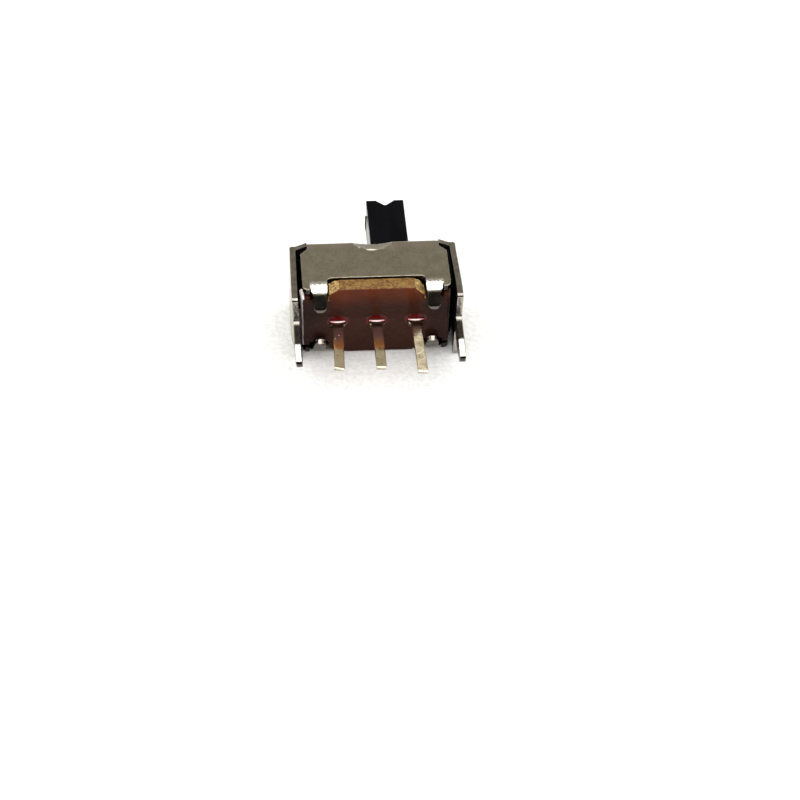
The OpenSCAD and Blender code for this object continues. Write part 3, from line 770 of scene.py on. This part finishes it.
def build_frame(face_look, edge_look, inner_look):
    high, low = blank_quarter(FLANGE_HIGH), blank_quarter(FLANGE_LOW)
    outline = high + [(-u, v) for u, v in reversed(high)] + [(-u, -v) for u, v in low] + \
        [(u, -v) for u, v in reversed(low)]
    corner_r, slot_half_x, slot_half_z = 0.2, 3.1, 1.55
    hole = []
    for sx, sz, start in ((1, 1, 90), (1, -1, 0), (-1, -1, -90), (-1, 1, -180)):
        hole += arc(sx * (slot_half_x - corner_r), sz * (slot_half_z - corner_r), corner_r,
                    start, start - 90, 6)

    def step(u, v):
        in_bend = PLATE_EDGE < abs(v) < PLATE_EDGE + WALL_FLAT or \
            FLANGE_ROOT < abs(u) < FLANGE_ROOT + FLANGE_FLAT
        in_claw = abs(v) > wall_row(CLAW_Y) - 0.1
        return 0.05 if in_bend else 0.07 if in_claw else 0.1

    loops = [spaced(clean(outline), step), spaced(clean(hole), step)]
    profile = [(0.07, 0.0, 0, 0), (0.04, 0.008, 0, 0), (0.018, 0.032, 0.004, 0), (0.004, 0.08, 0.006, 0),
               (0.0, 0.16, 0.008, 1), (0.0, 0.42, 0.01, 1), (0.004, 0.62, 0.014, 1), (0.006, 0.82, 0.018, 1),
               (0.0, 1.02, 0.012, 2), (0.02, 1.0, 0, 2), (0.06, 1.0, 0, 2), (0.11, 1.0, 0, 2)]
    columns = spread((0, 1.26, 0.07), (1.26, 1.62, 0.045), (1.62, FLANGE_ROOT, 0.15),
                     (FLANGE_ROOT, FLANGE_ROOT + FLANGE_FLAT, 0.05),
                     (FLANGE_ROOT + FLANGE_FLAT, flange_column(TAIL_TIP), 0.16))
    claw = wall_row(CLAW_Y)
    rows = spread((0, PLATE_EDGE - 0.5, 0.16), (PLATE_EDGE - 0.5, PLATE_EDGE, 0.08),
                  (PLATE_EDGE, PLATE_EDGE + WALL_FLAT, 0.045), (PLATE_EDGE + WALL_FLAT, wall_row(0.9), 0.08),
                  (wall_row(0.9), wall_row(1.5), 0.03), (wall_row(1.5), claw, 0.15),
                  (claw, claw + CLAW_FLAT, 0.06),
                  (claw + CLAW_FLAT, claw + CLAW_FLAT + CLAW_BLADE + CLAW_TIP_R, 0.1))

    def wear(u, v):
        tip = smooth(abs(v), claw + CLAW_FLAT + 0.8, claw + CLAW_FLAT + 1.25)
        slit = abs(abs(u) - BEND_HALF) < 0.1 and PLATE_EDGE - 0.1 < abs(v) < PLATE_EDGE + WALL_FLAT
        if abs(u) < CLAW_IN and wall_row(RECESS_Y) - 0.05 < abs(v) < wall_row(RECESS_Y) + 0.3:
            return 0.5 + 0.45 * noise.noise((u * 1.9, v, 3))
        return 0.15 if slit else 0.75 + 2.1 * tip

    verts, faces, marks = sheet_mesh(loops, profile, columns, rows, 0.05, frame_point, wear)
    # the recess is cut under the board's edge, where its sheared face gets the inner face's near-black look
    # as painted shade
    for i, face in enumerate(faces):
        if marks[i] == 1 and all(abs(verts[k][0]) < CLAW_IN + 0.05 and
                                 -0.33 < verts[k][1] + RECESS_Y < 0.07 for k in face):
            marks[i] = 2
    add_piece("folded_frame", verts, faces, marks, [face_look, edge_look, inner_look], "frame")


# ---------------------------------------------------------------- terminal board

def build_board(face_look, edge_look):
    flat, notch_x, notch_z, end_z = HALF_W - 0.05, 5.1, 2.1, 2.46

    def quarter(chamfer_z):
        return [(TONGUE - CHAMFER_X, flat), (TONGUE, flat - chamfer_z), (TONGUE, notch_z), (notch_x, notch_z),
                (notch_x, end_z), (BOARD_END - 0.08, end_z), (BOARD_END, end_z - 0.12)]

    right, left = quarter(0.75), quarter(0.45)     # the two ends' chamfers were broken off unevenly
    outline = right[::-1] + [(-x, z) for x, z in left] + [(-x, -z) for x, z in left[::-1]] + \
        [(x, -z) for x, z in right]
    loops = [spaced(outline, lambda x, y: 0.08)]

    def place(x, z, depth):
        y = -BODY_H + 0.008 + depth * (BOARD_T - 0.07)
        bow = 0.012 * noise.noise((x * 0.5, z * 0.5, 2)) * (1 - depth)
        # the chamfers' break swells below the face, and runs steeper at its lower end
        swell = 0.16 * smooth(depth, 0.2, 0.8) * smooth(abs(x), TONGUE - CHAMFER_X, TONGUE - 0.45) * \
            (1 - smooth(abs(x), TONGUE - 0.3, TONGUE)) * smooth(abs(z), flat - 0.9, flat - 0.6)
        steeper = (0.25 if x < 0 else 0.1) * depth * smooth(abs(x), TONGUE - 0.3, TONGUE) * \
            (1 - smooth(abs(x), TONGUE + 0.02, TONGUE + 0.4)) * smooth(abs(z), notch_z - 0.5, notch_z + 0.5)
        # and the ends spread towards the back
        outward = 0.08 * smooth(depth, 0.05, 0.9) * smooth(abs(x), BOARD_END - 0.12, BOARD_END - 0.03)
        # the blank was sheared a little long and askew at one end
        outward += (0.12 + 0.05 * z / end_z) * smooth(-x, BOARD_END - 0.6, BOARD_END - 0.13)
        return (x + math.copysign(outward + 0.3 * swell, x), y + bow,
                z + math.copysign(0.8 * swell - steeper, z))

    def wear(x, z):
        ragged = smooth(abs(x), TONGUE - CHAMFER_X - 0.12, TONGUE - CHAMFER_X) * \
            smooth(abs(z), flat - 0.9, flat - 0.75)
        return 1 + 1.2 * ragged + smooth(abs(x), BOARD_END - 0.06, BOARD_END)

    profile = [(0.12, 0.0, 0.03, 0), (0.06, 0.012, 0.035, 0), (0.022, 0.045, 0.03, 1), (0.0, 0.12, 0.02, 1),
               (0.006, 0.3, 0.022, 1), (0.0, 0.5, 0.022, 1), (0.008, 0.7, 0.024, 1), (0.004, 0.88, 0.024, 1),
               (0.03, 0.97, 0.02, 0), (0.09, 1.0, 0, 0)]
    columns = spread((0, BOARD_END, 0.15))
    rows = spread((0, flat, 0.15))
    verts, faces, marks = sheet_mesh(loops, profile, columns, rows, 0.09, place, wear)
    # the cut edges outside the tongue get the face's dark look as painted shade, but the short ends keep the
    # edge's look
    for i, face in enumerate(faces):
        side = min(abs(verts[k][0]) for k in face)
        if marks[i] and TONGUE + 0.02 < side < BOARD_END - 0.1:
            marks[i] = 0
        elif side > BOARD_END - 0.16 and min(verts[k][1] for k in face) > -BODY_H + 0.012:
            marks[i] = 1
    add_piece("laminate_board", verts, faces, marks, [face_look, edge_look],
              "terminal_board")


# ---------------------------------------------------------------- lofted strips

def section(half_x, half_z, corner):
    """A rounded rectangle in x and z, always with as many points in the same order."""
    corners = [arc(sx * (half_x - corner), sz * (half_z - corner), corner, start, start + 90, 4)
               for sx, sz, start in ((1, 1, 0), (-1, 1, 90), (-1, -1, 180), (1, -1, 270))]
    out = []
    for a, b, n in zip(corners, corners[1:] + corners[:1], (8, 3, 8, 3)):
        out += a
        out += [(a[-1][0] + (b[0][0] - a[-1][0]) * i / n, a[-1][1] + (b[0][1] - a[-1][1]) * i / n)
                for i in range(1, n)]
    return out


def loft(sections):
    """Joins closed sections, each a list of as many 3-D points, and closes both ends."""
    verts, faces = [], []
    n = len(sections[0])
    for ring in sections:
        verts += ring
    for j in range(len(sections) - 1):
        for i in range(n):
            k = (i + 1) % n
            faces.append((j * n + i, j * n + k, (j + 1) * n + k, (j + 1) * n + i))
    for first in (0, (len(sections) - 1) * n):
        ring = verts[first:first + n]
        centre = [sum(p[c] for p in ring) / n for c in range(3)]
        verts.append(tuple(centre))
        faces += [(first + i, first + (i + 1) % n, len(verts) - 1) for i in range(n)]
    return verts, faces


def build_terminal(name, x, splay, drop, slant, look, cut_look):
    """One strip from the blade inside to the cropped tip, with the staked shoulder under the board."""
    blade, pin, half_t = 0.95, 0.39, 0.2
    start, tip = BODY_H + 0.95, BODY_H + PIN_LEN
    # each station is a depth, half width, half thickness and corner radius, here from the board's face
    shoulder = [(-BOARD_T - 2, blade - 0.06, half_t - 0.05, 0.05), (-BOARD_T - 1.92, blade, half_t, 0.05),
                (-BOARD_T - 0.05, blade, half_t, 0.05), (-BOARD_T - 0.02, pin, half_t, 0.05),
                (-0.06, pin, half_t, 0.05), (-0.03, 0.6, 0.24, 0.08), (0.1, 0.63, 0.258, 0.1),
                (0.175, 0.64, 0.262, 0.1), (0.205, 0.635, 0.25, 0.09), (0.23, 0.62, 0.225, 0.06),
                (0.26, 0.62, half_t, 0.06), (0.35, 0.63, half_t - 0.004, 0.06), (0.47, 0.62, half_t, 0.08),
                (0.58, 0.57, half_t, 0.13), (0.7, 0.49, half_t, 0.15), (0.82, 0.42, half_t, 0.12),
                (0.92, pin, half_t, 0.06)]
    stations = [(BODY_H + below, *shape) for below, *shape in shoulder]
    bevel, count = 0.2, 26
    stations += [(start + (tip - start - bevel) * i / count, pin, half_t, 0.06) for i in range(1, count)]
    # and these from the tip, with what the bevel takes off each half
    stations += [(tip - above, pin - off_x, half_t - off_z, corner) for above, off_x, off_z, corner in
                 ((bevel, 0, 0, 0.06), (0.09, 0.01, 0.004, 0.06), (0.04, 0.025, 0.016, 0.05),
                  (0.012, 0.045, 0.036, 0.04), (0.004, 0.07, 0.06, 0.04))]
    sections = []
    for depth, half_x, half_z, corner in stations:
        ring = []
        for px, pz in section(half_x, half_z, corner):
            below = depth - start
            if below <= 0:
                # the shoulder reaches up to 0.1 mm deeper at its middle
                collar = smooth(depth, BODY_H - 0.03, BODY_H + 0.03) * \
                    (1 - smooth(depth, BODY_H + 0.35, BODY_H + 0.6))
                ring.append((x + px, -depth - 0.1 * collar * (1 - (px / 0.64) ** 2), pz))
                continue
            below += slant * px * smooth(depth, tip - 0.6, tip)
            # the crop runs back towards the underside
            below -= smooth(depth, tip - bevel, tip) * 0.24 * (0.5 - 0.5 * pz / half_t)
            # the bent pin: dropped about X, then splayed about Z
            y = -below * math.cos(drop) - pz * math.sin(drop)
            z = pz * math.cos(drop) - below * math.sin(drop)
            ring.append((x + px * math.cos(splay) - y * math.sin(splay),
                         px * math.sin(splay) + y * math.cos(splay) - start, z))
        seed = x * 1.7
        ring = [tuple(c + 0.006 * noise.noise((p[0] * 2 + seed, p[1] * 2, p[2] * 2 + k * 9))
                      for k, c in enumerate(p)) for p in ring]
        sections.append(ring)
    verts, faces = loft(sections)
    cut = (len(stations) - 3) * len(sections[0])       # the first point of the cropped end
    marks = [1 if min(face) >= cut else 0 for face in faces]
    add_piece(name + "_strip", verts, faces, marks, [look, cut_look], name, sharp=50)


# ---------------------------------------------------------------- lacquer round the stakes

def build_lacquer(name, x, look):
    """The low, uneven ring of red lacquer round a staked shoulder, with a few drops beside it."""
    around, across, sunk = 72, 9, 0.03
    verts, faces = [], []
    for i in range(around):
        a = 2 * math.pi * i / around
        ca, sa = math.cos(a), math.sin(a)
        edge = (abs(ca / STAKE_HALF_X) ** 4 + abs(sa / STAKE_HALF_Z) ** 4) ** -0.25
        uneven = noise.noise((ca * 1.3 + x * 3, sa * 1.3, 4))
        width = 0.26 + 0.1 * uneven + (0.16 if sa > 0 else 0) * abs(sa)
        tall = 0.09 + 0.03 * noise.noise((ca * 2 + x, sa * 2, 9))
        for j in range(across):
            t = j / (across - 1)
            r = edge - 0.04 + (width + 0.04) * t
            h = tall * (1 - t) ** 1.6 if j < across - 1 else -sunk
            verts.append((x + r * ca, -BODY_H - h, r * sa))
    # the last strip of each is the hidden underside, which closes the ring
    faces += [(i * across + j, (i + 1) % around * across + j, (i + 1) % around * across + (j + 1) % across,
               i * across + (j + 1) % across) for i in range(around) for j in range(across)]
    turns, levels = 14, 4
    for dx, dz, r, h in ((0.93, 0.1, 0.07, 0.03), (1.08, 0.2, 0.05, 0.025), (0.98, -0.12, 0.045, 0.02),
                         (-0.9, 0.22, 0.035, 0.015), (1.17, 0.05, 0.035, 0.02), (-0.86, 0.02, 0.04, 0.02)):
        first, top = len(verts), len(verts) + levels * turns
        for j in range(levels):
            b = math.pi / 2 * j / levels
            y = -BODY_H - h * math.sin(b) + (sunk if j == 0 else 0)
            for i in range(turns):
                a = 2 * math.pi * i / turns
                wide = r * math.cos(b) * (1 + 0.25 * noise.noise((math.cos(a) + dx * 5, math.sin(a), x)))
                verts.append((x + dx + wide * math.cos(a), y, dz + wide * math.sin(a)))
        verts += [(x + dx, -BODY_H - h, dz), (x + dx, -BODY_H + sunk, dz)]
        for i in range(turns):
            k = (i + 1) % turns
            for low in range(first, top - turns, turns):
                faces.append((low + i, low + k, low + turns + k, low + turns + i))
            faces += [(top - turns + i, top - turns + k, top), (first + k, first + i, top + 1)]
    add_piece(name, verts, faces, [0] * len(faces), [look], sharp=60)


# ---------------------------------------------------------------- moulded and stamped pieces with eased edges

def softened(node, width, look, reshape=lambda co: co):
    """A moving piece: a copy of a solid's mesh, with edges eased as in a moulding or a pressed strip."""
    bm = bmesh.new()
    bm.from_mesh(nodes[node].data)
    bmesh.ops.remove_doubles(bm, verts=bm.verts, dist=1e-7)
    bmesh.ops.dissolve_limit(bm, angle_limit=math.radians(0.6), verts=bm.verts, edges=bm.edges)
    sharp = [e for e in bm.edges if len(e.link_faces) == 2 and e.calc_face_angle() > math.radians(25)]
    bmesh.ops.bevel(bm, geom=sharp, offset=width * MM, segments=3, profile=0.5, affect="EDGES",
                    clamp_overlap=True, offset_type="OFFSET")
    bmesh.ops.triangulate(bm, faces=[f for f in bm.faces if len(f.verts) > 4])
    for v in bm.verts:
        v.co = reshape(v.co)
    bmesh.ops.recalc_face_normals(bm, faces=bm.faces)
    me = bpy.data.meshes.new(node + "_eased")
    bm.to_mesh(me)
    bm.free()
    me.materials.clear()
    me.materials.append(look)
    me.polygons.foreach_set("material_index", [0] * len(me.polygons))
    add_object(node + "_eased", me, "slide", node, 40)


def trim_stub(co):
    """Makes the gate's stub a little thinner and shorter than its solid."""
    side, middle = KNOB_SIDE * MM, MID_Z * MM
    if co.x > side - 0.03 * MM or co.y < PLATE_Y * MM:
        return co
    return Vector((side + (co.x - side) * 0.7, co.y, middle + (co.z - middle) * 0.75))


# ---------------------------------------------------------------- the part

build_world()
build_floor()
build_frame(steel_face(), steel_edge(), steel_inner())
build_board(laminate(), laminate_edge())
strip, cut, red = brass(), cropped(), lacquer()
# each pin's splay and drop in degrees, and the slant of its crop
for side, x, splay, drop, slant in (("left", -PITCH, -2, -1.7, 0.28), ("centre", 0.0, 0, -1.7, 0.06),
                                    ("right", PITCH, 2, 6, 0.1)):
    build_terminal("terminal_" + side, x, math.radians(splay), math.radians(drop), slant, strip, cut)
    build_lacquer("lacquer_" + side, x, red)
softened("slider", 0.07, plastic(), trim_stub)
softened("contact_clip", 0.03, bronze())
